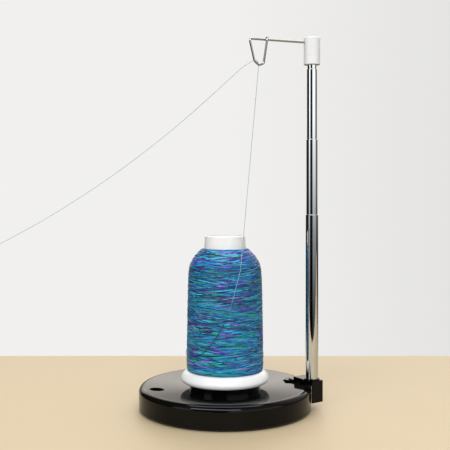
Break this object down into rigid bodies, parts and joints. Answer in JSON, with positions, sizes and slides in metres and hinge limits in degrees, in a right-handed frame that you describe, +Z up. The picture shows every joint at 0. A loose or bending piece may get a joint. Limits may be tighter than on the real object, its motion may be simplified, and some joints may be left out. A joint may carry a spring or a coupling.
{
  "type": "spool holder stand",
  "caption": "Weighted round stand whose centre pin carries a cone of thread, with a telescoping mast at its edge that holds a swivelling wire thread guide over the cone.",
  "frame": {"origin": "on the base's axis, at the underside of the non-slip pad that it stands on", "axes": "+Z up along the spool pin, +X towards the mast (within a degree), -Y towards the viewer of the picture"},
  "size_m": [0.235, 0.124, 0.2669],
  "materials": {
    "black_gloss": "polished injection-moulded black plastic",
    "black_satin": "satin black plastic",
    "pad_rubber": "soft non-slip rubber foam",
    "ballast_iron": "as cast",
    "zinc_steel": "zinc plated",
    "pin_steel": "plated",
    "felt_black": "wool felt",
    "white_plastic": "moulded white plastic, slightly glossy",
    "thread": "variegated teal, blue, violet and lavender trilobal polyester thread",
    "chrome_tube": "bright chrome plate",
    "brass_sleeve": "plain brass strip",
    "spring_steel": "black oxide clip",
    "guide_steel": "nickel plated spring wire"
  },
  "bodies": {
    "stand": {"base_shell": "black_gloss", "ballast_weight": "ballast_iron", "base_plate": "black_satin", "base_plate_screws": "zinc_steel", "nonslip_pad": "pad_rubber", "spool_pin": "pin_steel", "spool_pin_washer": "zinc_steel", "spool_pin_nut": "zinc_steel", "spool_felt": "felt_black", "centring_bush": "black_satin", "mast_bracket": "black_gloss", "bracket_washer": "zinc_steel", "bracket_screw": "zinc_steel", "lower_tube": "chrome_tube", "thread_strand_low": "thread"},
    "middle_draw": {"middle_tube": "chrome_tube", "middle_friction_sleeve": "brass_sleeve", "thread_strand_middle": "thread"},
    "upper_draw": {"upper_tube": "chrome_tube", "upper_friction_sleeve": "brass_sleeve", "thread_strand_upper": "thread"},
    "top_draw": {"top_rod": "chrome_tube", "rod_friction_sleeve": "brass_sleeve", "retaining_ring": "spring_steel", "thread_strand_top": "thread"},
    "guide": {"guide_cap": "white_plastic", "cap_skirt": "white_plastic", "guide_wire": "guide_steel", "thread_tail": "thread", "tail_knot": "thread"},
    "cone": {"cone_core": "white_plastic", "cone_flange": "white_plastic", "thread_package": "thread"}
  },
  "joints": [
    {"name": "middle_slide", "type": "slide", "parent": "stand", "child": "middle_draw", "axis": [0, 0, 1], "range_m": [-0.053, 0.032], "deforming": ["thread_strand_low"]},
    {"name": "upper_slide", "type": "slide", "parent": "middle_draw", "child": "upper_draw", "axis": [0, 0, 1], "range_m": [-0.047, 0.038], "deforming": ["thread_strand_middle"]},
    {"name": "top_slide", "type": "slide", "parent": "upper_draw", "child": "top_draw", "axis": [0, 0, 1], "range_m": [-0.003, 0.067], "deforming": ["thread_strand_upper"]},
    {"name": "guide_swivel", "type": "hinge", "parent": "top_draw", "child": "guide", "pos_m": [0.06269, -0.00109, 0.2], "axis": [0, 0, 1], "continuous": true, "deforming": ["thread_strand_top"]},
    {"name": "cone_spin", "type": "hinge", "parent": "stand", "child": "cone", "pos_m": [0, 0, 0.0193], "axis": [0, 0, 1], "continuous": true}
  ]
}
